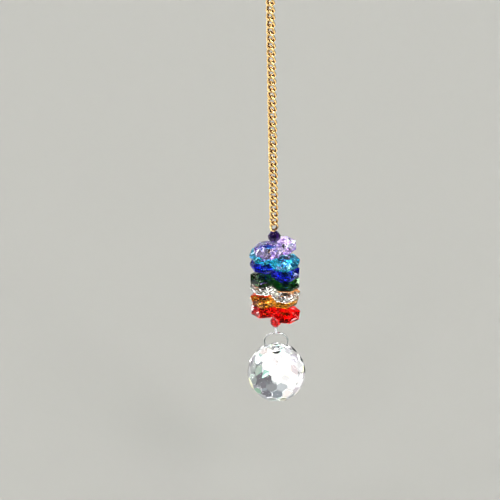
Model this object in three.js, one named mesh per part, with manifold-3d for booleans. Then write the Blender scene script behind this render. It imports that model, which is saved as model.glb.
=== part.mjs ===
// Crystal suncatcher: a faceted ball, two beads and fourteen octagon discs on a doubled nylon
// thread, hung from a gold curb chain. Millimetres, +Z up. The origin is the point inside the
// hanging ring that rests on a hook, and the front of the suncatcher faces -Y.

import * as THREE from "three";
import { ConvexGeometry } from "three/addons/geometries/ConvexGeometry.js";
import { mergeVertices } from "three/addons/utils/BufferGeometryUtils.js";
import Module from "manifold-3d";

const wasm = await Module();
wasm.setup();

// Hanging ring
const RING_INNER = 10;
const RING_WIRE = 1.2;

// Round wire is drawn with this many flats round it, and this many steps along a ring or link
const RING_FACES = { sides: 8, steps: 24 };
const LINK_FACES = { sides: 5, steps: 10 };
const THREAD_SIDES = 6;

// Curb chain. Its links twist along their length, and the whole chain turns slowly. A fullness
// under 1 straightens the sides of a link, as pressing a chain flat does
const LINK_COUNT = 39;
const LINK_LENGTH = 6.4;
const LINK_WIDTH = 4.7;
const LINK_WIRE = 1.25;
const LINK_FULLNESS = 0.57;
const LINK_TWIST = -90;
const LINK_BITE = 0.08;
const CHAIN_TURN = -45;

// Octagon discs: across the flats, then the corners of the shoulder and of the table
const DISC_WIDTH = 14;
const DISC_THICKNESS = 5.2;
const DISC_EDGE = 1.3;
const DISC_SHOULDER = { width: 8.8, height: 3.7 };
const DISC_TABLE = 5.2;
const DISC_PITCH = 6.5;
const HOLE_OFFSET = 5.3;
const HOLE_WIDTH = 1.5;

// Small beads, each end's width and the height of the waist given as parts of the whole
const PURPLE_BEAD = { width: 6.4, height: 4.8 };
const RED_BEAD = { width: 5.6, height: 5.4 };
const BEAD_END = 0.6;
const BEAD_WAIST = 0.26;

// Ball, a little taller than wide, with a drilled neck that stands on a flat, and the bail
const BALL_RADIUS = 14.7;
const BALL_STRETCH = 1.04;
const NECK = { root: 13.2, seat: 14.7, top: 17.7, width: 4.4, depth: 5.6, flare: 1.2 };
const NECK_HOLE = { height: 15.75, width: 1.9 };
const BAIL = { width: 13, height: 11.3, wire: 0.9 };
const BAIL_PLAY = 0.1;

// Thread
const THREAD_WIRE = 0.36;
const THREAD_SPREAD = 0.3;
const THREAD_AZIMUTH = -45;

// Space left between pieces that hang on one another
const GAP = 0.3;

// Heights above the centre of the ball, from the bottom up
const BAIL_FOOT = NECK_HOLE.height - BAIL_PLAY;
const BAIL_HEAD = BAIL_FOOT + BAIL.height - BAIL.wire;
const RED_BEAD_HEIGHT = 33.6;
const DISC_HEIGHT = 39.3;
const PURPLE_BEAD_HEIGHT = 87.3;
const CHAIN_FOOT = 90.1;
const LINK_PITCH = LINK_LENGTH - 2 * LINK_WIRE - LINK_BITE;
const CHAIN_HEAD = CHAIN_FOOT + (LINK_COUNT - 1) * LINK_PITCH + LINK_LENGTH;
const RING_CENTRE = CHAIN_HEAD - LINK_WIRE - GAP + RING_INNER / 2;
const HOOK_HEIGHT = RING_CENTRE + RING_INNER / 2;

// Each colour's two discs from the bottom up: the way each points from the thread, how far its
// outer end droops (both in degrees), and how far the pair sits above its even place
const LAYERS = [
  { colour: "red", hex: 0xd8141c, right: [-8, 2], left: [180, 4], lift: 0 },
  { colour: "amber", hex: 0xd98a24, right: [32, -2], left: [192, -1], lift: 0.15 },
  { colour: "clear", hex: 0xf2ece2, right: [-14, 0], left: [168, 0], lift: 0.22 },
  { colour: "green", hex: 0x12592a, right: [-2, 1], left: [180, 4], lift: 0.1 },
  { colour: "cobalt", hex: 0x1a22b8, right: [-5, -1], left: [160, -4], lift: 0 },
  { colour: "turquoise", hex: 0x23a9cf, right: [-14, -3], left: [165, 0], lift: 0.1 },
  { colour: "lavender", hex: 0xb79ae0, back: [46, 0], front: [238, 0], lift: 0.7 },
];

const GOLD = 0xd9a54a;
const SILVER = 0xc8c8cc;
const NYLON = 0xf4f4f4;
const CLEAR = 0xf8f8fa;
const PURPLE = 0x2a1250;
const RED = 0xc0141a;

const radians = THREE.MathUtils.degToRad;

function glass(hex) {
  return new THREE.MeshStandardMaterial({ color: hex, roughness: 0.05, metalness: 0, flatShading: true });
}

function metal(hex, roughness) {
  return new THREE.MeshStandardMaterial({ color: hex, roughness, metalness: 1 });
}

// A solid that manifold-3d can join and cut
function solidOf(geometry) {
  const bare = geometry.clone();
  bare.deleteAttribute("normal");
  bare.deleteAttribute("uv");
  const welded = mergeVertices(bare);
  return new wasm.Manifold(
    new wasm.Mesh({
      numProp: 3,
      vertProperties: new Float32Array(welded.attributes.position.array),
      triVerts: new Uint32Array(welded.index.array),
    }),
  );
}

function geometryOf(solid) {
  const mesh = solid.getMesh();
  const geometry = new THREE.BufferGeometry();
  geometry.setAttribute("position", new THREE.BufferAttribute(mesh.vertProperties, 3));
  geometry.setIndex(new THREE.BufferAttribute(mesh.triVerts, 1));
  geometry.computeVertexNormals();
  return geometry;
}

// Ring of points round the Z axis, the first at a turn given in parts of one step
function pointRing(count, radius, height, phase) {
  return Array.from({ length: count }, (_, i) => {
    const turn = ((i + phase) * 2 * Math.PI) / count;
    return new THREE.Vector3(radius * Math.cos(turn), radius * Math.sin(turn), height);
  });
}

// Closed loop of round wire, standing in the XZ plane. path gives the wire's middle at a turn
function wireLoop(wire, { sides, steps }, path) {
  const loop = new THREE.TorusGeometry(1, wire / 2, sides, steps);
  const position = loop.attributes.position;
  const corner = new THREE.Vector3();
  const step = (2 * Math.PI) / steps;
  for (let i = 0; i < position.count; i++) {
    corner.fromBufferAttribute(position, i);
    const turn = Math.atan2(corner.y, corner.x);
    const across = Math.hypot(corner.x, corner.y) - 1;
    const middle = path(turn);
    const along = path(turn + step).sub(path(turn - step)).normalize();
    position.setXYZ(i, middle.x + across * along.y, -corner.z, middle.y - across * along.x);
  }
  return loop;
}

// Upright oval. A fullness under 1 straightens its sides and rounds its ends
function oval(width, height, fullness = 1) {
  return (turn) => {
    const rise = Math.sin(turn);
    const up = Math.sign(rise) * Math.abs(rise) ** fullness;
    return new THREE.Vector2((width / 2) * Math.cos(turn), (height / 2) * up);
  };
}

// Straight hole of a few sides along Z
function drill(width, length) {
  const sides = 8;
  return new THREE.CylinderGeometry(width / 2, width / 2, length, sides).rotateX(Math.PI / 2);
}

function hangingRing() {
  const middle = RING_INNER + RING_WIRE;
  return wireLoop(RING_WIRE, RING_FACES, oval(middle, middle));
}

// One link, centred on the origin, with its two ends turned against each other
function chainLink() {
  const length = LINK_LENGTH - LINK_WIRE;
  const path = oval(LINK_WIDTH - LINK_WIRE, length, LINK_FULLNESS);
  const link = wireLoop(LINK_WIRE, LINK_FACES, path);
  const position = link.attributes.position;
  const corner = new THREE.Vector3();
  const upright = new THREE.Vector3(0, 0, 1);
  for (let i = 0; i < position.count; i++) {
    corner.fromBufferAttribute(position, i);
    corner.applyAxisAngle(upright, radians(LINK_TWIST) * (corner.z / length));
    position.setXYZ(i, corner.x, corner.y, corner.z);
  }
  return link;
}

// All the links in a column, fused where they bear on one another
function chain() {
  const link = chainLink();
  let column = null;
  for (let i = 0; i < LINK_COUNT; i++) {
    const turned = link.clone().rotateZ((radians(CHAIN_TURN) * i) / (LINK_COUNT - 1));
    const placed = solidOf(turned.translate(0, 0, LINK_LENGTH / 2 + i * LINK_PITCH));
    column = column ? column.add(placed) : placed;
  }
  return geometryOf(column);
}

// Octagon with a table, kites and an edge on both faces, and a hole near two opposite sides
function octagonDisc() {
  const sides = 8;
  const edgeRadius = DISC_WIDTH / 2 / Math.cos(Math.PI / sides);
  const rings = [
    { radius: edgeRadius, height: DISC_EDGE / 2, phase: 0.5 },
    { radius: DISC_SHOULDER.width / 2, height: DISC_SHOULDER.height / 2, phase: 0 },
    { radius: DISC_TABLE / 2, height: DISC_THICKNESS / 2, phase: 0.5 },
  ];
  const points = rings.flatMap((ring) => [
    ...pointRing(sides, ring.radius, ring.height, ring.phase),
    ...pointRing(sides, ring.radius, -ring.height, ring.phase),
  ]);
  const hole = drill(HOLE_WIDTH, 2 * DISC_THICKNESS);
  const inner = solidOf(hole.clone().translate(-HOLE_OFFSET, 0, 0));
  const outer = solidOf(hole.translate(HOLE_OFFSET, 0, 0));
  return geometryOf(solidOf(new ConvexGeometry(points)).subtract(inner).subtract(outer));
}

// Small drilled bead with two rows of facets
function facetedBead({ width, height }) {
  const sides = 8;
  const end = (BEAD_END * width) / 2;
  const waist = (BEAD_WAIST * height) / 2;
  const points = [
    ...pointRing(sides, end, height / 2, 0.5),
    ...pointRing(sides, width / 2, waist, 0),
    ...pointRing(sides, width / 2, -waist, 0.5),
    ...pointRing(sides, end, -height / 2, 0),
  ];
  const hole = solidOf(drill(HOLE_WIDTH, 2 * height));
  return geometryOf(solidOf(new ConvexGeometry(points)).subtract(hole));
}

// The directions that the ball's facets face: staggered rows from the foot to the neck
function facetNormals() {
  const rows = [
    { latitude: -90, count: 1 },
    { latitude: -70, count: 8 },
    { latitude: -50, count: 8 },
    { latitude: -30, count: 16 },
    { latitude: -10, count: 16 },
    { latitude: 10, count: 16 },
    { latitude: 30, count: 16 },
    { latitude: 50, count: 8 },
    { latitude: 70, count: 8 },
    { latitude: 90, count: 1 },
  ];
  return rows.flatMap(({ latitude, count }, row) => {
    const phase = row % 2 ? 0.5 : 0;
    return pointRing(count, Math.cos(radians(latitude)), Math.sin(radians(latitude)), phase);
  });
}

// Sphere cut flat along the tangent plane of each normal. Three planes meet at a corner that lies
// along the normal of the triangle between their own normals
function cutSphere(radius, normals) {
  const between = new ConvexGeometry(normals).attributes.position;
  const corners = [];
  for (let i = 0; i < between.count; i += 3) {
    const [a, b, c] = [i, i + 1, i + 2].map((k) => new THREE.Vector3().fromBufferAttribute(between, k));
    const towards = new THREE.Triangle(a, b, c).getNormal(new THREE.Vector3());
    corners.push(towards.multiplyScalar(radius / towards.dot(a)));
  }
  return new ConvexGeometry(corners);
}

function crystalBall() {
  const sides = 8;
  const neck = new THREE.CylinderGeometry(0.5, NECK.flare / 2, NECK.top - NECK.root, sides);
  neck.rotateX(Math.PI / 2).rotateZ(Math.PI / sides).scale(NECK.width, NECK.depth, 1);
  neck.translate(0, 0, (NECK.root + NECK.top) / 2);
  const hole = drill(NECK_HOLE.width, 2 * NECK.width).rotateY(Math.PI / 2);
  hole.translate(0, 0, NECK_HOLE.height);
  const body = solidOf(cutSphere(BALL_RADIUS, facetNormals()).scale(1, 1, BALL_STRETCH));
  const seated = body.trimByPlane([0, 0, -1], -NECK.seat);
  return geometryOf(seated.add(solidOf(neck)).subtract(solidOf(hole)));
}

function bail() {
  return wireLoop(BAIL.wire, RING_FACES, oval(BAIL.width - BAIL.wire, BAIL.height - BAIL.wire));
}

// The thread's right half where it turns round a wire, from level with it to its far side
function turnRound(height, reach, rise) {
  return [0, 45, 90].map((angle) => {
    const turn = radians(angle);
    return new THREE.Vector2(reach * Math.cos(turn), height + rise * Math.sin(turn));
  });
}

// The thread's right half from under the bail's top to over the lowest link's wire. It meets the
// bail's wire at a slant and the link's wire squarely
function threadSide() {
  const clear = THREAD_WIRE / 2 + GAP;
  const slant = 1 / Math.cos(radians(THREAD_AZIMUTH));
  const bailWire = BAIL.wire / 2;
  const linkWire = LINK_WIRE / 2;
  const foot = turnRound(BAIL_HEAD, slant * bailWire + clear, -bailWire - clear).reverse();
  const head = turnRound(CHAIN_FOOT + linkWire, linkWire + clear, linkWire + clear);
  const redFoot = RED_BEAD_HEIGHT - RED_BEAD.height / 2;
  const purpleHead = PURPLE_BEAD_HEIGHT + PURPLE_BEAD.height / 2;
  const straight = [redFoot, purpleHead].map((height) => new THREE.Vector2(THREAD_SPREAD, height));
  return [...foot, ...straight, ...head];
}

function thread() {
  const side = threadSide();
  const other = side.slice(1, -1).map((point) => new THREE.Vector2(-point.x, point.y));
  const knots = [...side, ...other.reverse()];
  const steps = knots.length;
  const path = (turn) => {
    const index = Math.round((turn / (2 * Math.PI)) * steps);
    return knots[(index + 2 * steps) % steps].clone();
  };
  const loop = wireLoop(THREAD_WIRE, { sides: THREAD_SIDES, steps }, path);
  return loop.rotateZ(radians(THREAD_AZIMUTH));
}

const suncatcher = new THREE.Group();
suncatcher.position.z = -HOOK_HEIGHT;

function addPiece(parent, name, geometry, material) {
  const piece = new THREE.Mesh(geometry, material);
  piece.name = name;
  parent.add(piece);
  return piece;
}

function addDisc(name, geometry, material, height, [azimuth, droop]) {
  const spoke = new THREE.Group();
  spoke.rotation.set(0, radians(droop), radians(azimuth), "ZYX");
  spoke.position.z = height;
  suncatcher.add(spoke);
  addPiece(spoke, name, geometry, material).position.x = HOLE_OFFSET;
}

function addDiscs() {
  const geometry = octagonDisc();
  LAYERS.forEach(({ colour, hex, lift, ...discs }, row) => {
    Object.entries(discs).forEach(([way, pose], place) => {
      const height = DISC_HEIGHT + lift + (row + place / 2) * DISC_PITCH;
      addDisc(`${colour}_disc_${way}`, geometry, glass(hex), height, pose);
    });
  });
}

function addAt(height, name, geometry, material) {
  addPiece(suncatcher, name, geometry, material).position.z = height;
}

addAt(RING_CENTRE, "hanging_ring", hangingRing(), metal(GOLD, 0.25));
addAt(CHAIN_FOOT, "chain", chain(), metal(GOLD, 0.25));
addAt(PURPLE_BEAD_HEIGHT, "purple_bead", facetedBead(PURPLE_BEAD), glass(PURPLE));
addDiscs();
addAt(RED_BEAD_HEIGHT, "red_bead", facetedBead(RED_BEAD), glass(RED));
addPiece(suncatcher, "thread", thread(), glass(NYLON));
addAt((BAIL_FOOT + BAIL_HEAD) / 2, "bail", bail(), metal(SILVER, 0.15));
addPiece(suncatcher, "crystal_ball", crystalBall(), glass(CLEAR));

const model = new THREE.Group();
model.add(suncatcher);

export default model;
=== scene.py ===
import math
import random
from collections import namedtuple

import bpy
from bpy.props import FloatProperty, FloatVectorProperty, IntProperty, PointerProperty
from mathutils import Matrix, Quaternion, Vector


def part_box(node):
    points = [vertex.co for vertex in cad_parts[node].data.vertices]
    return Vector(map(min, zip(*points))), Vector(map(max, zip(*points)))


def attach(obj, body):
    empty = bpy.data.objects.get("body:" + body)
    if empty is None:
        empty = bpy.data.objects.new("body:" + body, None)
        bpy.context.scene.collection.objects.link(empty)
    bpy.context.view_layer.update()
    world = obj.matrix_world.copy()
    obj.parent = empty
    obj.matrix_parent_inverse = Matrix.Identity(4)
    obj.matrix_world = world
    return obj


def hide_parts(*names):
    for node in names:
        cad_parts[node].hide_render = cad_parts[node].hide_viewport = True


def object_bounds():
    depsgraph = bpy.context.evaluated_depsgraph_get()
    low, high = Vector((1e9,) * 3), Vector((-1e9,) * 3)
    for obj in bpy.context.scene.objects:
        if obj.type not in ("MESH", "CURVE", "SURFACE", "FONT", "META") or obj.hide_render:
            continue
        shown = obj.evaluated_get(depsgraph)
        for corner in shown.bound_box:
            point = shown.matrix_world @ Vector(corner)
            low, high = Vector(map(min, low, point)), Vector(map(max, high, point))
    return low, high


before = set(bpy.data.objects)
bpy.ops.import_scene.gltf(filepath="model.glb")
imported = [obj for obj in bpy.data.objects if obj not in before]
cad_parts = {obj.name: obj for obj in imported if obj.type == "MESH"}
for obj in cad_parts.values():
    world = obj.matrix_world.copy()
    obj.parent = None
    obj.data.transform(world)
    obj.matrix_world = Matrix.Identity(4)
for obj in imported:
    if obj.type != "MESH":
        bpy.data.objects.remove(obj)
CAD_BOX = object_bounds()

bl_info = {
    "name": "Crystal Suncatcher",
    "version": (1, 0, 0),
    "blender": (4, 5, 0),
    "location": "View3D > Sidebar > Suncatcher",
    "description": "Dresses the suncatcher's frame: gold chain, cut crystals, thread, bail, ball and stage",
    "category": "Object",
}

MM = 0.001

# A facet stands upright where its normal rises by less than this
UPRIGHT = 0.35
# A bevel's strip has less area than this share of its outline times the bevel's width
STRIP_SHARE = 0.45
# A facet with more corners than this has a hole through it
WHOLE_FACET = 8
# Edges that turn by more than this are bevelled on crystal, and stay sharp on wire
CUT_ANGLE = math.radians(14)
SHARP_ANGLE = math.radians(40)

# What the lights are aimed at, and the width of the camera's sensor
HEART = Vector((0, 0, -0.19))
SENSOR = 36
# How far right and low of the middle the ball stands, in widths of the frame
BALL_PLACE = (0.053, -0.244)

# The floor sweeps up into a round wall. Its points are picked out within a small margin
FLOOR_RADIUS = 12.0
WALL_HEIGHT = 6.0
SWEEP = 3.0
MARGIN = 0.1

# Light of the room's walls: the least of it, and what a patch may add
WHITE_WALL = (0.62, 1.1)
GREY_WALL = (0.11, 0.48)
NEAR_WALL = 0.2
DARK_CEILING = 0.03
# Where along each axis the grey wall, the near wall and the ceiling begin and are whole
GREY_FROM = {"x": (-0.2, -0.05), "y": (0.0, 0.2), "z": (-0.52, -0.42)}
GREY_SLANT = 0.6
NEAR_FROM = {"y": (-0.35, -0.55), "z": (-0.3, -0.45)}
CEILING_FROM = (0.1, 0.3)
# Lamps are finer than the patches, with a narrow soft edge
LAMP_FINENESS = 1.7
LAMP_EDGE = 0.01
# How much of its own colour a patch shows, what the strongest ones add, and which those are
FAINT_TINT = 0.1
STRONG_TINT = 0.3
STRONG_FROM = (0.82, 0.86)
WARM_WHITE = (1.0, 0.98, 0.95, 1)
COOL_WHITE = (0.88, 0.94, 1.0, 1)

Extent = namedtuple("Extent", "low high middle size")


def extent(node):
    """A node's lowest and highest corners, its middle and its size."""
    low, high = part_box(node)
    return Extent(low, high, (low + high) / 2, high - low)


RING_BOX = extent("hanging_ring")
CHAIN_BOX = extent("chain")
BAIL_BOX = extent("bail")
BALL_BOX = extent("crystal_ball")


# ---------------------------------------------------------------- sizes and colours


def colour(name, description, default):
    return FloatVectorProperty(
        name=name, description=description, subtype="COLOR", size=3, min=0, max=1, default=default
    )


def length(name, description, default):
    return FloatProperty(
        name=name, description=description, default=default, min=0, unit="LENGTH", precision=5
    )


class SuncatcherMetal(bpy.types.PropertyGroup):
    """Sizes and colours of the chain and the rings, and the colour of the thread."""

    link_count: IntProperty(name="Links", description="How many links the chain has", default=39, min=2)
    link_length: length("Link length", "Outside length of one link", 6.4 * MM)
    link_width: length("Link width", "Outside width of one link", 4.7 * MM)
    link_wire: length("Link wire", "Thickness of the chain's wire", 1.42 * MM)
    link_twist: FloatProperty(
        name="Link twist",
        description="Turn of one end of a link against the other",
        subtype="ANGLE",
        default=math.radians(-112),
    )
    chain_turn: FloatProperty(
        name="Chain turn",
        description="Turn of the highest link against the lowest",
        subtype="ANGLE",
        default=math.radians(-45),
    )
    seam: length("Ring seam", "Gap where the ends of a bent ring meet", 0.12 * MM)
    gold: colour("Gold", "Plating of the chain and its ring", (0.95, 0.72, 0.40))
    silver: colour("Silver", "Plating of the bail", (0.62, 0.62, 0.64))
    nylon: colour("Nylon", "The clear thread", (0.93, 0.93, 0.95))


class SuncatcherCrystal(bpy.types.PropertyGroup):
    """Colours and edges of the cut crystals."""

    edge: length("Cut edge", "Width of the polished edge between two facets", 0.2 * MM)
    star: length("Star depth", "How deep the middle of a disc's facet is cut", 0.05 * MM)
    # Painted shade on a disc's upright rim facets: their facet number is scaled by this, towards the deep
    # tone
    rim: FloatProperty(
        name="Rim", description="How pale the rim of a disc is", subtype="FACTOR", default=0.3, min=0, max=1
    )
    star_least: length("Smallest star", "Width of the smallest facet that is cut as a star", 1.2 * MM)
    purple: colour("Purple", "Bead above the discs", (0.04, 0.01, 0.13))
    lavender: colour("Lavender", "Top pair of discs", (0.82, 0.64, 1.0))
    turquoise: colour("Turquoise", "Second pair of discs", (0.05, 0.66, 0.92))
    cobalt: colour("Cobalt", "Third pair of discs", (0.01, 0.016, 0.5))
    green: colour("Green", "Fourth pair of discs", (0.002, 0.045, 0.006))
    clear: colour("Clear", "Fifth pair of discs", (0.96, 0.93, 0.87))
    amber: colour("Amber", "Sixth pair of discs", (0.85, 0.28, 0.02))
    red: colour("Red", "Lowest pair of discs and the bead below them", (0.92, 0.004, 0.006))
    ball: colour("Ball", "The faceted ball", (0.98, 0.98, 0.99))


class SuncatcherStage(bpy.types.PropertyGroup):
    """Camera and light."""

    elevation: FloatProperty(
        name="Elevation", description="Height of the camera above the ball", subtype="ANGLE",
        default=math.radians(40),
    )
    distance: length("Distance", "From the camera to the middle of the ball", 0.986)
    neck_height: length("Neck height", "From the middle of the ball to the top of its neck", 17.7 * MM)
    lens: FloatProperty(name="Lens", description="Focal length on a 36 mm sensor", default=135.8, min=1)
    lean: FloatProperty(
        name="Lean", description="Tilt of the camera about its own axis", subtype="ANGLE",
        default=math.radians(0.92),
    )
    floor_drop: length("Floor", "From the foot of the ball down to the floor", 0.075)
    key: FloatProperty(name="Key light", description="Strength of the main light", default=0.8, min=0)
    patches: FloatProperty(name="Patches", description="How finely the room is patched", default=7.5, min=0)
    lamps: FloatProperty(name="Lamps", description="Brightness of the ceiling's lamps", default=12, min=0)
    lamp_share: FloatProperty(
        name="Lamp share", description="How much of the ceiling is lamps", subtype="FACTOR",
        default=0.12, min=0, max=1,
    )
    room: FloatProperty(name="Room light", description="Brightness of the room", default=1.0, min=0)
    floor: colour("Floor", "Colour of the floor", (0.318, 0.311, 0.300))


# ---------------------------------------------------------------- finishes


class Signal:
    """A socket of a finish, which plain arithmetic turns into Math nodes."""

    def __init__(self, finish, socket):
        self.finish = finish
        self.socket = socket

    def math(self, operation, first, second):
        return self.finish.node("ShaderNodeMath", {"operation": operation}, {0: first, 1: second})

    def __add__(self, other):
        return self.math("ADD", self, other)

    def __radd__(self, other):
        return self.math("ADD", other, self)

    def __sub__(self, other):
        return self.math("SUBTRACT", self, other)

    def __rsub__(self, other):
        return self.math("SUBTRACT", other, self)

    def __mul__(self, other):
        return self.math("MULTIPLY", self, other)

    def __rmul__(self, other):
        return self.math("MULTIPLY", other, self)


class Finish:
    """The nodes of one material, or of the room, built one at a time."""

    def __init__(self, block):
        self.block = block
        block.use_nodes = True
        block.node_tree.nodes.clear()

    def node(self, kind, settings, sockets, output=0):
        """Adds a node: its settings first, then the values or links of its sockets."""
        added = self.block.node_tree.nodes.new(kind)
        for key, value in settings.items():
            if key == "stops":
                self.stops(added.color_ramp, value)
            else:
                setattr(added, key, value)
        for key, value in sockets.items():
            if isinstance(value, Signal):
                self.block.node_tree.links.new(value.socket, added.inputs[key])
            else:
                added.inputs[key].default_value = value
        return Signal(self, added.outputs[output]) if added.outputs else None

    def stops(self, ramp, stops):
        while len(ramp.elements) < len(stops):
            ramp.elements.new(0.5)
        for element, (position, tone) in zip(ramp.elements, stops):
            element.position = position
            element.color = tone

    def place(self):
        """Where a point is on the piece, in metres."""
        return self.node("ShaderNodeTexCoord", {}, {}, "Object")

    def noise(self, scale, detail=2.0, where=None):
        """Soft random pattern, with scale spots to the metre."""
        place = where or self.place()
        return self.node(
            "ShaderNodeTexNoise", {}, {"Vector": place, "Scale": scale, "Detail": detail}
        )

    def stretched(self, scale):
        """Where a point is, with each axis scaled by its own number."""
        return self.node(
            "ShaderNodeMapping", {"vector_type": "POINT"}, {"Vector": self.place(), "Scale": scale}
        )

    def mask(self, name):
        """A number that the piece's faces carry."""
        return self.node("ShaderNodeAttribute", {"attribute_name": name}, {}, "Fac")

    def mix(self, factor, first, second):
        """Blends two colours."""
        settings = {"data_type": "RGBA", "clamp_factor": True}
        return self.node("ShaderNodeMix", settings, {0: factor, 6: first, 7: second}, 2)

    def step(self, value, start, end):
        """Rises smoothly from 0 at start to 1 at end."""
        return self.node(
            "ShaderNodeMapRange", {"interpolation_type": "SMOOTHSTEP"},
            {"Value": value, "From Min": start, "From Max": end},
        )

    def bump(self, height, depth, strength):
        return self.node("ShaderNodeBump", {}, {"Height": height, "Distance": depth, "Strength": strength})

    def shader(self, sockets):
        """The surface itself, and the finished material."""
        surface = self.node("ShaderNodeBsdfPrincipled", {}, sockets)
        self.node("ShaderNodeOutputMaterial", {}, {"Surface": surface})
        return self.block


def shade(rgb, factor=1.0):
    return (rgb[0] * factor, rgb[1] * factor, rgb[2] * factor, 1.0)


def gold_plate(rgb):
    """Bright gold plating, darkened inside the links as painted shade, with fine marks along the wire."""
    finish = Finish(bpy.data.materials.new("gold_plate"))
    cloud = finish.noise(420, 3)
    marks = finish.noise(1.0, 2, finish.stretched((9000, 9000, 1400)))
    shade_brown = (rgb[0] * 0.2, rgb[1] * 0.13, rgb[2] * 0.1, 1)
    amber = (rgb[0] * 0.8, rgb[1] * 0.66, rgb[2] * 0.5, 1)
    plate = finish.mix(cloud * 1.6 - 0.5, shade(rgb), amber)
    return finish.shader({
        # Painted shade: faces turned into a link's opening are mixed towards a dark tone
        "Base Color": finish.mix(finish.mask("inside") * 1.7, plate, shade_brown),
        "Metallic": 1.0,
        "Roughness": 0.06 + cloud * 0.16,
        "Normal": finish.bump(marks, 0.00004, 0.35),
    })


def silver_plate(rgb):
    """Mirror-bright plating with faint smears."""
    finish = Finish(bpy.data.materials.new("silver_plate"))
    smears = finish.noise(600, 3)
    tint = finish.mix(smears, shade(rgb), shade(rgb, 0.82))
    return finish.shader({
        "Base Color": tint,
        "Metallic": 1.0,
        "Roughness": 0.05 + smears * 0.14,
        "Normal": finish.bump(finish.noise(2600, 2), 0.00002, 0.3),
    })


def nylon_line(rgb):
    """Clear nylon, a little cloudy along its length."""
    finish = Finish(bpy.data.materials.new("clear_nylon"))
    cloud = finish.noise(700, 2)
    return finish.shader({
        "Base Color": finish.mix(cloud, shade(rgb), shade(rgb, 0.86)),
        "Roughness": 0.03 + cloud * 0.08,
        "IOR": 1.53,
        "Transmission Weight": 1.0,
        "Normal": finish.bump(cloud, 0.00003, 0.3),
    })


def cut_crystal(name, rgb, deep, pale, spread):
    """Polished crystal: each facet is painted its own tone between deep and pale, painted shade and painted
    highlight standing in for light inside the crystal, and the cut edges are rougher from wear and painted
    pale as a painted highlight.
    """
    finish = Finish(bpy.data.materials.new(name))
    facet = finish.mask("facet")
    edge_wear_and_glint = finish.mask("cut_edge")
    cloud = finish.noise(260, 2)
    deep, pale = shade(deep), shade(pale)
    stops = [(0.12, deep), (0.5 - spread, shade(rgb)), (0.5 + spread, shade(rgb)), (0.88, pale)]
    # Painted shade and painted highlight: each facet's number picks a tone from deep through the crystal's
    # own colour to pale
    depth = finish.node("ShaderNodeValToRGB", {"stops": stops}, {"Fac": facet * 0.9 + cloud * 0.1})
    return finish.shader({
        # Painted highlight: the bevel strips along the cut edges are mixed towards the pale tone
        "Base Color": finish.mix(edge_wear_and_glint * 0.6, depth, pale),
        "Roughness": cloud * 0.006 + edge_wear_and_glint * 0.2,
        "IOR": 1.57,
        "Transmission Weight": 1.0,
        "Normal": finish.bump(finish.noise(900, 2), 0.00003, 0.12),
    })


def studio_floor(rgb):
    """Pale matt board with a faint grain."""
    finish = Finish(bpy.data.materials.new("studio_floor"))
    grain = finish.noise(60, 4)
    return finish.shader({
        "Base Color": finish.mix(grain, shade(rgb, 0.985), shade(rgb, 1.0)),
        "Roughness": 0.7 + grain * 0.15,
        "Specular IOR Level": 0.2,
    })


# ---------------------------------------------------------------- modelling helpers


def clear_selection():
    if bpy.context.object and bpy.context.object.mode != "OBJECT":
        bpy.ops.object.mode_set(mode="OBJECT")
    bpy.ops.object.select_all(action="DESELECT")


def pick(piece):
    """Makes a piece the only one selected."""
    clear_selection()
    piece.select_set(True)
    bpy.context.view_layer.objects.active = piece


def settle(piece, name):
    """Puts a piece's place into its mesh and names it."""
    pick(piece)
    bpy.ops.object.transform_apply(location=True, rotation=True, scale=True)
    piece.name = name
    piece.data.name = name
    return piece


def finish_piece(piece, material, slot, *nodes):
    """Gives a piece its finish and its place in the frame."""
    piece.data.materials.clear()
    piece.data.materials.append(material)
    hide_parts(*nodes)
    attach(piece, "root")


def apply_modifier(piece, kind, **settings):
    pick(piece)
    modifier = piece.modifiers.new(kind.lower(), kind)
    for key, value in settings.items():
        setattr(modifier, key, value)
    bpy.ops.object.modifier_apply(modifier=modifier.name)


def select_points(piece, wanted):
    """Selects the vertices in a place, from object mode, and enters edit mode."""
    pick(piece)
    bpy.ops.object.mode_set(mode="EDIT")
    bpy.ops.mesh.select_mode(type="VERT")
    bpy.ops.mesh.select_all(action="DESELECT")
    bpy.ops.object.mode_set(mode="OBJECT")
    for point in piece.data.vertices:
        point.select = wanted(point.co)
    bpy.ops.object.mode_set(mode="EDIT")


def upright_ring(width, height, wire, steps, sides):
    """Oval of round wire that stands in the XZ plane, stretched from a torus at its middle."""
    clear_selection()
    bpy.ops.mesh.primitive_torus_add(
        major_segments=steps, minor_segments=sides,
        major_radius=(min(width, height) - wire) / 2, minor_radius=wire / 2,
        rotation=(math.pi / 2, 0, 0),
    )
    ring = bpy.context.object
    bpy.ops.object.transform_apply(location=False, rotation=True, scale=False)
    spare = (width - height) / 2
    stretch = Vector((spare, 0, 0)) if spare > 0 else Vector((0, 0, -spare))
    for side in (1, -1):
        select_points(ring, lambda point: side * point.dot(stretch) > 1e-12)
        bpy.ops.transform.translate(value=side * stretch)
    bpy.ops.object.mode_set(mode="OBJECT")
    return ring


def mark_shaded_inside(ring, wire):
    """Marks how far round each face of a ring turns towards its opening, where the plating gets painted
    shade.
    """
    mesh = ring.data
    half = max(abs(point.co.z) for point in mesh.vertices)
    side = max(abs(point.co.x) for point in mesh.vertices)
    straight = Vector((max(side - half, 0), 0, max(half - side, 0)))
    bend = min(half, side) - wire / 2
    mesh.attributes.new("inside", "FLOAT", "FACE")
    inside = mesh.attributes["inside"]
    for face in mesh.polygons:
        centre = face.center
        nearest = Vector((
            max(-straight.x, min(straight.x, centre.x)), 0, max(-straight.z, min(straight.z, centre.z))
        ))
        away = Vector((centre.x - nearest.x, 0, centre.z - nearest.z)).length
        inside.data[face.index].value = max(0.0, (bend - away) / (wire / 2))


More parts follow.
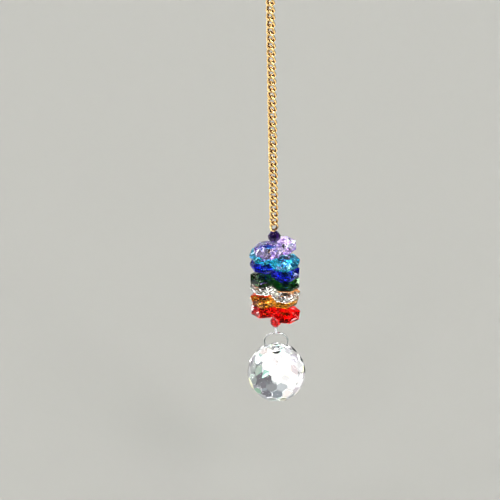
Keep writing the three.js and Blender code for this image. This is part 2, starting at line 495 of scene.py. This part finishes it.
def open_seam(ring, gap, towards):
    """Cuts a bent ring where its ends meet, leaving a hairline gap."""
    across = Vector((towards.z, 0, -towards.x)).normalized()
    pick(ring)
    bpy.ops.object.mode_set(mode="EDIT")
    for side in (1, -1):
        bpy.ops.mesh.select_all(action="SELECT")
        bpy.ops.mesh.bisect(plane_co=across * side * gap / 2, plane_no=across)
    bpy.ops.object.mode_set(mode="OBJECT")
    for face in ring.data.polygons:
        off = face.center.dot(across)
        face.select = abs(off) < gap / 2 and face.center.dot(towards) > 0
    bpy.ops.object.mode_set(mode="EDIT")
    bpy.ops.mesh.select_mode(type="FACE")
    bpy.ops.mesh.delete(type="FACE")
    bpy.ops.mesh.select_mode(type="EDGE")
    bpy.ops.mesh.select_all(action="DESELECT")
    bpy.ops.mesh.select_non_manifold()
    bpy.ops.mesh.fill_holes(sides=0)
    bpy.ops.mesh.select_all(action="SELECT")
    bpy.ops.mesh.normals_make_consistent(inside=False)
    bpy.ops.object.mode_set(mode="OBJECT")


def bent_ring(box, name, seam, towards, steps, sides):
    """Ring that fills a node's box, bent from one wire whose ends meet at a seam."""
    ring = upright_ring(box.size.x, box.size.z, box.size.y, steps, sides)
    open_seam(ring, seam, towards)
    ring.location = box.middle
    settle(ring, name)
    bpy.ops.object.shade_smooth_by_angle(angle=SHARP_ANGLE)
    return ring


def merged_copy(node, name):
    """A merged copy of a node from the frame, its flat facets made whole."""
    clear_selection()
    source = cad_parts[node]
    piece = bpy.data.objects.new(name, source.data.copy())
    bpy.context.scene.collection.objects.link(piece)
    pick(piece)
    bpy.ops.object.mode_set(mode="EDIT")
    bpy.ops.mesh.select_all(action="SELECT")
    bpy.ops.mesh.remove_doubles(threshold=2e-6)
    bpy.ops.mesh.dissolve_limited(angle_limit=math.radians(1))
    bpy.ops.object.mode_set(mode="OBJECT")
    if piece.data.has_custom_normals:
        bpy.ops.mesh.customdata_custom_splitnormals_clear()
    bpy.ops.object.shade_flat()
    piece.data.name = name
    return piece


def star_cut(piece, depth, least):
    """Cuts each whole facet of more than the least area into a shallow fan of smaller ones."""
    pick(piece)
    bpy.ops.object.mode_set(mode="EDIT")
    bpy.ops.mesh.select_mode(type="FACE")
    bpy.ops.mesh.select_all(action="DESELECT")
    bpy.ops.object.mode_set(mode="OBJECT")
    for face in piece.data.polygons:
        face.select = len(face.vertices) <= WHOLE_FACET and face.area > least
    bpy.ops.object.mode_set(mode="EDIT")
    bpy.ops.mesh.poke(offset=-depth)
    bpy.ops.object.mode_set(mode="OBJECT")


def polish(piece, edge, seed, rim=1.0):
    """Rounds the edges between facets and gives each facet its own number, times rim on upright ones."""
    apply_modifier(
        piece, "BEVEL", width=edge, segments=1, limit_method="ANGLE", angle_limit=CUT_ANGLE,
        use_clamp_overlap=True,
    )
    numbers = random.Random(seed)
    by_direction = {}
    mesh = piece.data
    for name in ("facet", "cut_edge"):
        mesh.attributes.new(name, "FLOAT", "FACE")
    facet, cut_edge = mesh.attributes["facet"], mesh.attributes["cut_edge"]
    # Each facet's number later picks its painted shade or painted highlight; upright facets have it scaled by
    # rim, a painted shade round a disc's rim
    for face in mesh.polygons:
        direction = tuple(round(part, 2) for part in face.normal)
        by_direction.setdefault(direction, numbers.random())
        upright = abs(face.normal.z) < UPRIGHT
        facet.data[face.index].value = by_direction[direction] * (rim if upright else 1.0)
        cut_edge.data[face.index].value = float(is_strip(mesh, face, edge))


def is_strip(mesh, face, edge):
    """Whether a face is one of the narrow strips that a bevel leaves."""
    corners = [mesh.vertices[index].co for index in face.vertices]
    outline = sum((a - b).length for a, b in zip(corners, corners[1:] + corners[:1]))
    return face.area < STRIP_SHARE * outline * edge


# ---------------------------------------------------------------- pieces


class SUNCATCHER_OT_hanging_ring(bpy.types.Operator):
    """Gold ring, bent from one wire, that hangs on a hook"""

    bl_idname = "suncatcher.hanging_ring"
    bl_label = "Hanging ring"

    def execute(self, context):
        metal = context.scene.suncatcher_metal
        towards = Vector((0.94, 0, 0.34))
        ring = bent_ring(RING_BOX, "gold_hanging_ring", metal.seam, towards, 96, 20)
        finish_piece(ring, bpy.data.materials["gold_plate"], "gold_wire", "hanging_ring")
        return {"FINISHED"}


class SUNCATCHER_OT_chain(bpy.types.Operator):
    """Gold curb chain, one twisted link copied down its length"""

    bl_idname = "suncatcher.chain"
    bl_label = "Curb chain"

    def execute(self, context):
        metal = context.scene.suncatcher_metal
        pitch = (CHAIN_BOX.size.z - metal.link_length) / (metal.link_count - 1)
        foot = CHAIN_BOX.low.z + metal.link_length / 2
        pattern = upright_ring(metal.link_width, metal.link_length, metal.link_wire, 28, 12)
        # Painted shade: the faces that turn into each link's opening are marked to be darkened
        mark_shaded_inside(pattern, metal.link_wire)
        apply_modifier(
            pattern, "SIMPLE_DEFORM", deform_method="TWIST", deform_axis="Z", angle=metal.link_twist
        )
        pick(pattern)
        bpy.ops.object.shade_smooth()
        links = [pattern]
        for place in range(1, metal.link_count):
            pick(pattern)
            bpy.ops.object.duplicate()
            links.append(context.object)
        for place, link in enumerate(links):
            link.location = (0, 0, foot + place * pitch)
            link.rotation_euler = (0, 0, metal.chain_turn * place / (metal.link_count - 1))
        clear_selection()
        for link in links:
            link.select_set(True)
        context.view_layer.objects.active = pattern
        bpy.ops.object.transform_apply(location=True, rotation=True, scale=True)
        bpy.ops.object.join()
        chain = settle(context.object, "gold_curb_chain")
        finish_piece(chain, bpy.data.materials["gold_plate"], "gold_wire", "chain")
        return {"FINISHED"}


DISC_PAIRS = ("lavender", "turquoise", "cobalt", "green", "clear", "amber", "red")


class SUNCATCHER_OT_discs(bpy.types.Operator):
    """Fourteen octagon discs of cut crystal, two to a colour"""

    bl_idname = "suncatcher.discs"
    bl_label = "Octagon discs"

    def execute(self, context):
        crystal = context.scene.suncatcher_crystal
        seed = 1
        for pair in DISC_PAIRS:
            sides = ("front", "back") if pair == "lavender" else ("right", "left")
            for side in sides:
                node = f"{pair}_disc_{side}"
                disc = merged_copy(node, f"{pair}_crystal_{side}")
                star_cut(disc, crystal.star, crystal.star_least ** 2)
                polish(disc, crystal.edge, seed, crystal.rim)
                finish_piece(disc, bpy.data.materials[f"cut_{pair}_crystal"], f"{pair}_crystal", node)
                seed += 1
        return {"FINISHED"}


class SUNCATCHER_OT_beads(bpy.types.Operator):
    """Purple bead above the discs and red bead below them"""

    bl_idname = "suncatcher.beads"
    bl_label = "Small beads"

    def execute(self, context):
        crystal = context.scene.suncatcher_crystal
        for seed, pair in enumerate(("purple", "red")):
            bead = merged_copy(f"{pair}_bead", f"{pair}_crystal_bead")
            polish(bead, crystal.edge, 40 + seed)
            finish_piece(bead, bpy.data.materials[f"cut_{pair}_crystal"], f"{pair}_crystal", f"{pair}_bead")
        return {"FINISHED"}


class SUNCATCHER_OT_thread(bpy.types.Operator):
    """Doubled nylon thread through the beads and discs"""

    bl_idname = "suncatcher.thread"
    bl_label = "Nylon thread"

    def execute(self, context):
        thread = merged_copy("thread", "nylon_thread")
        apply_modifier(thread, "SUBSURF", levels=2, render_levels=2)
        pick(thread)
        bpy.ops.object.shade_smooth()
        finish_piece(thread, bpy.data.materials["clear_nylon"], "nylon_line", "thread")
        return {"FINISHED"}


class SUNCATCHER_OT_bail(bpy.types.Operator):
    """Silver ring that joins the ball to the thread"""

    bl_idname = "suncatcher.bail"
    bl_label = "Bail"

    def execute(self, context):
        metal = context.scene.suncatcher_metal
        towards = Vector((-0.87, 0, -0.5))
        ring = bent_ring(BAIL_BOX, "silver_bail", metal.seam, towards, 80, 16)
        finish_piece(ring, bpy.data.materials["silver_plate"], "silver_wire", "bail")
        return {"FINISHED"}


class SUNCATCHER_OT_ball(bpy.types.Operator):
    """Faceted crystal ball with a drilled neck"""

    bl_idname = "suncatcher.ball"
    bl_label = "Crystal ball"

    def execute(self, context):
        crystal = context.scene.suncatcher_crystal
        ball = merged_copy("crystal_ball", "faceted_crystal_ball")
        polish(ball, crystal.edge, 60)
        finish_piece(ball, bpy.data.materials["cut_ball_crystal"], "ball_crystal", "crystal_ball")
        return {"FINISHED"}


# Each crystal's deepest and palest facet tone, painted shade and painted highlight for light inside the
# crystal, and how far its own colour reaches towards them
CRYSTALS = {
    "purple": ((0.005, 0.0, 0.03), (0.6, 0.5, 0.9), 0.2),
    "lavender": ((0.36, 0.18, 0.82), (1.0, 0.95, 1.0), 0.04),
    "turquoise": ((0.0, 0.16, 0.3), (0.45, 0.92, 1.0), 0.2),
    "cobalt": ((0.0, 0.0, 0.14), (0.22, 0.24, 1.0), 0.25),
    "green": ((0.0, 0.006, 0.003), (0.3, 0.6, 0.12), 0.25),
    "clear": ((0.8, 0.77, 0.72), (1.0, 1.0, 1.0), 0.3),
    "amber": ((0.3, 0.07, 0.0), (0.98, 0.62, 0.15), 0.25),
    "red": ((0.4, 0.0, 0.0), (1.0, 0.05, 0.04), 0.25),
    "ball": ((0.86, 0.88, 0.92), (1.0, 1.0, 1.0), 0.4),
}


class SUNCATCHER_OT_finishes(bpy.types.Operator):
    """Metals, nylon and crystals, each with its own grain and wear, with painted shade inside the chain's
    links and painted shade and highlights on the crystals' facets and cut edges
    """

    bl_idname = "suncatcher.finishes"
    bl_label = "Finishes"

    def execute(self, context):
        metal = context.scene.suncatcher_metal
        crystal = context.scene.suncatcher_crystal
        gold_plate(metal.gold)
        silver_plate(metal.silver)
        nylon_line(metal.nylon)
        for name, (deep, pale, spread) in CRYSTALS.items():
            cut_crystal(f"cut_{name}_crystal", getattr(crystal, name), deep, pale, spread)
        return {"FINISHED"}


# ---------------------------------------------------------------- stage


def distant_light(name, place, strength, softness, tint):
    """Even light from one side, its edge as soft as its width in degrees."""
    clear_selection()
    bpy.ops.object.light_add(type="SUN", location=place)
    lamp = bpy.context.object
    lamp.name = name
    lamp.data.energy = strength
    lamp.data.angle = math.radians(softness)
    lamp.data.color = tint
    lamp.rotation_euler = (place - HEART).to_track_quat("Z", "Y").to_euler()


def beside_heart(azimuth, elevation):
    """A place a metre from the heart, at degrees round from the front and up from level."""
    turn, rise = math.radians(azimuth), math.radians(elevation)
    return HEART + Vector((math.sin(turn) * math.cos(rise), -math.cos(turn) * math.cos(rise), math.sin(rise)))


class SUNCATCHER_OT_stage(bpy.types.Operator):
    """Pale floor, soft light and the camera"""

    bl_idname = "suncatcher.stage"
    bl_label = "Stage"

    def execute(self, context):
        stage = context.scene.suncatcher_stage
        scene = context.scene
        self.lay_floor(stage, CAD_BOX[0].z - stage.floor_drop)
        distant_light("key_light", beside_heart(50, 50), stage.key, 20, (1, 0.97, 0.93))
        distant_light("fill_light", beside_heart(-120, 60), stage.key / 2, 40, (0.94, 0.97, 1))
        self.light_room(scene, stage)
        self.add_camera(scene, stage)
        scene.view_settings.view_transform = "Standard"
        scene.view_settings.look = "Medium High Contrast"
        return {"FINISHED"}

    def lay_floor(self, stage, height):
        """Round floor that sweeps up into a wall, seen by the camera and not by the crystals."""
        clear_selection()
        bpy.ops.mesh.primitive_cylinder_add(
            vertices=96, radius=FLOOR_RADIUS, depth=WALL_HEIGHT, location=(0, 0, height + WALL_HEIGHT / 2)
        )
        floor = settle(bpy.context.object, "studio_floor")
        select_points(floor, lambda point: point.z > height + WALL_HEIGHT - MARGIN)
        bpy.ops.mesh.delete(type="ONLY_FACE")
        bpy.ops.object.mode_set(mode="OBJECT")
        select_points(floor, lambda point: point.z < height + MARGIN)
        bpy.ops.mesh.select_mode(type="EDGE")
        bpy.ops.mesh.bevel(offset=SWEEP, segments=10, affect="EDGES")
        bpy.ops.mesh.select_all(action="SELECT")
        bpy.ops.mesh.normals_make_consistent(inside=True)
        bpy.ops.object.mode_set(mode="OBJECT")
        bpy.ops.object.shade_smooth()
        floor.data.materials.append(studio_floor(stage.floor))
        for ray in ("transmission", "glossy", "diffuse", "shadow"):
            setattr(floor, f"visible_{ray}", False)

    def patchwork(self, room, way, fineness):
        """A chance colour and a chance number for each patch of the room."""
        patch = room.node("ShaderNodeTexVoronoi", {}, {"Vector": way, "Scale": fineness}, "Color")
        return patch, room.node("ShaderNodeSeparateColor", {}, {"Color": patch}, "Green")

    def light_room(self, scene, stage):
        """White and grey walls in patches under a dark ceiling with lamps, for the crystals to show."""
        room = Finish(bpy.data.worlds.new("studio_room"))
        way = room.node("ShaderNodeTexCoord", {}, {}, "Generated")
        x, y, z = (room.node("ShaderNodeSeparateXYZ", {}, {"Vector": way}, axis) for axis in "XYZ")
        patch, chance = self.patchwork(room, way, stage.patches)
        white = WHITE_WALL[0] + chance * WHITE_WALL[1]
        grey = GREY_WALL[0] + chance * GREY_WALL[1]
        shaded = room.step(x, *GREY_FROM["x"]) * room.step(z + x * GREY_SLANT, *GREY_FROM["z"])
        shaded = shaded * room.step(y, *GREY_FROM["y"])
        near = room.step(y, *NEAR_FROM["y"]) * room.step(z, *NEAR_FROM["z"])
        wall = white + (grey - white) * shaded
        wall = wall + (NEAR_WALL - wall) * near
        luck = self.patchwork(room, way, stage.patches * LAMP_FINENESS)[1]
        edge = 1.0 - stage.lamp_share
        lamps = DARK_CEILING + room.step(luck, edge, edge + LAMP_EDGE) * stage.lamps
        light = wall + (lamps - wall) * room.step(z, *CEILING_FROM)
        amount = FAINT_TINT + room.step(chance, *STRONG_FROM) * STRONG_TINT
        tint = room.mix(amount, room.mix(shaded, WARM_WHITE, COOL_WHITE), patch)
        ground = room.node("ShaderNodeBackground", {}, {"Color": tint, "Strength": light * stage.room})
        room.node("ShaderNodeOutputWorld", {}, {"Surface": ground})
        scene.world = room.block

    def add_camera(self, scene, stage):
        """Aims at the ball, then swings so that it stands low and a little right in the frame."""
        ball = Vector((0, 0, BALL_BOX.high.z - stage.neck_height))
        rise = stage.elevation
        back = Vector((0, -math.cos(rise), math.sin(rise)))
        bpy.ops.object.camera_add(location=ball + back * stage.distance)
        camera = bpy.context.object
        camera.name = "studio_camera"
        camera.data.lens = stage.lens
        camera.data.sensor_width = SENSOR
        camera.data.clip_start = 0.01
        camera.data.clip_end = 100
        focal = stage.lens / SENSOR
        towards = Vector((BALL_PLACE[0] / focal, BALL_PLACE[1] / focal, -1))
        aim = (-back).to_track_quat("-Z", "Y")
        lean = Quaternion((0, 0, 1), -stage.lean)
        camera.rotation_mode = "QUATERNION"
        camera.rotation_quaternion = aim @ lean @ towards.rotation_difference(Vector((0, 0, -1)))
        scene.camera = camera


# ---------------------------------------------------------------- panel and registration

STEPS = (
    SUNCATCHER_OT_finishes,
    SUNCATCHER_OT_hanging_ring,
    SUNCATCHER_OT_chain,
    SUNCATCHER_OT_beads,
    SUNCATCHER_OT_discs,
    SUNCATCHER_OT_thread,
    SUNCATCHER_OT_bail,
    SUNCATCHER_OT_ball,
    SUNCATCHER_OT_stage,
)
GROUPS = {
    "suncatcher_metal": SuncatcherMetal,
    "suncatcher_crystal": SuncatcherCrystal,
    "suncatcher_stage": SuncatcherStage,
}


class SUNCATCHER_PT_panel(bpy.types.Panel):
    """Sizes, colours and steps of the suncatcher"""

    bl_idname = "SUNCATCHER_PT_panel"
    bl_label = "Crystal Suncatcher"
    bl_space_type = "VIEW_3D"
    bl_region_type = "UI"
    bl_category = "Suncatcher"

    def draw(self, context):
        for step in STEPS:
            self.layout.operator(step.bl_idname)
        for key in GROUPS:
            group = getattr(context.scene, key)
            box = self.layout.box()
            for name in group.__annotations__:
                box.prop(group, name)


def register():
    for group in GROUPS.values():
        bpy.utils.register_class(group)
    for key, group in GROUPS.items():
        setattr(bpy.types.Scene, key, PointerProperty(type=group))
    for step in STEPS:
        bpy.utils.register_class(step)
    bpy.utils.register_class(SUNCATCHER_PT_panel)


def unregister():
    bpy.utils.unregister_class(SUNCATCHER_PT_panel)
    for step in reversed(STEPS):
        bpy.utils.unregister_class(step)
    for key in GROUPS:
        delattr(bpy.types.Scene, key)
    for group in GROUPS.values():
        bpy.utils.unregister_class(group)


def main():
    register()
    bpy.ops.suncatcher.finishes()
    bpy.ops.suncatcher.hanging_ring()
    bpy.ops.suncatcher.chain()
    bpy.ops.suncatcher.beads()
    bpy.ops.suncatcher.discs()
    bpy.ops.suncatcher.thread()
    bpy.ops.suncatcher.bail()
    bpy.ops.suncatcher.ball()
    bpy.ops.suncatcher.stage()


if __name__ == "__main__":
    main()
